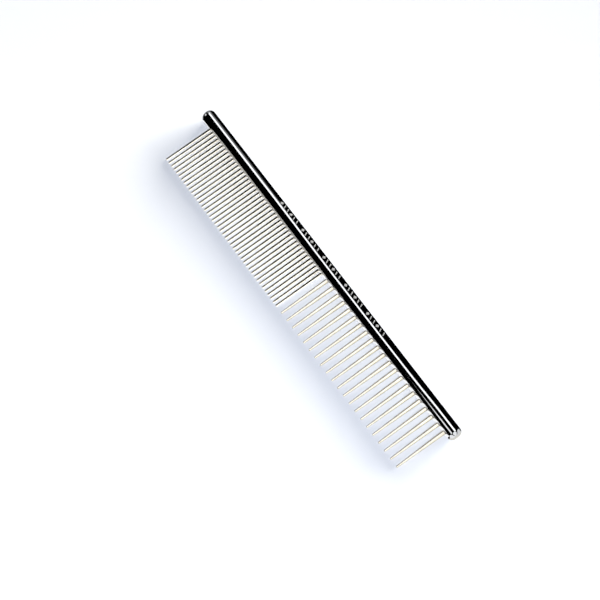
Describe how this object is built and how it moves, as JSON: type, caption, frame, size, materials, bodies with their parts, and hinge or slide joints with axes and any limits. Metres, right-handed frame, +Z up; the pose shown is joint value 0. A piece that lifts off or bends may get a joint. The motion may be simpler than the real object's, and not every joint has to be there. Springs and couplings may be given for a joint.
{
  "type": "steel grooming comb",
  "caption": "Straight pet grooming comb: a round chromed spine holding one row of tapered, round-tipped steel pins, close set on one half and wide set on the other.",
  "frame": {"origin": "bottom centre of the comb's bounding box, on the surface that it lies on", "axes": "+X along the spine from the close-set half to the wide-set half, +Y from the pins' tips towards the spine, +Z up as the comb lies on its spine and pin tips"},
  "size_m": [0.1806, 0.0298, 0.0063],
  "materials": {
    "spine_chrome": "mirror polished",
    "pin_steel": "polished, slightly warm"
  },
  "bodies": {
    "root": {"spine": "spine_chrome", "fine_pins_01": "pin_steel", "fine_pins_02": "pin_steel", "fine_pins_03": "pin_steel", "fine_pins_04": "pin_steel", "fine_pins_05": "pin_steel", "fine_pins_06": "pin_steel", "fine_pins_07": "pin_steel", "fine_pins_08": "pin_steel", "fine_pins_09": "pin_steel", "fine_pins_10": "pin_steel", "fine_pins_11": "pin_steel", "fine_pins_12": "pin_steel", "fine_pins_13": "pin_steel", "fine_pins_14": "pin_steel", "fine_pins_15": "pin_steel", "fine_pins_16": "pin_steel", "fine_pins_17": "pin_steel", "fine_pins_18": "pin_steel", "fine_pins_19": "pin_steel", "fine_pins_20": "pin_steel", "fine_pins_21": "pin_steel", "fine_pins_22": "pin_steel", "coarse_pin_01": "pin_steel", "coarse_pin_02": "pin_steel", "coarse_pin_03": "pin_steel", "coarse_pin_04": "pin_steel", "coarse_pin_05": "pin_steel", "coarse_pin_06": "pin_steel", "coarse_pin_07": "pin_steel", "coarse_pin_08": "pin_steel", "coarse_pin_09": "pin_steel", "coarse_pin_10": "pin_steel", "coarse_pin_11": "pin_steel", "coarse_pin_12": "pin_steel", "coarse_pin_13": "pin_steel", "coarse_pin_14": "pin_steel", "coarse_pin_15": "pin_steel", "coarse_pin_16": "pin_steel", "coarse_pin_17": "pin_steel", "coarse_pin_18": "pin_steel", "coarse_pin_19": "pin_steel", "coarse_pin_20": "pin_steel", "coarse_pin_21": "pin_steel"}
  },
  "joints": []
}
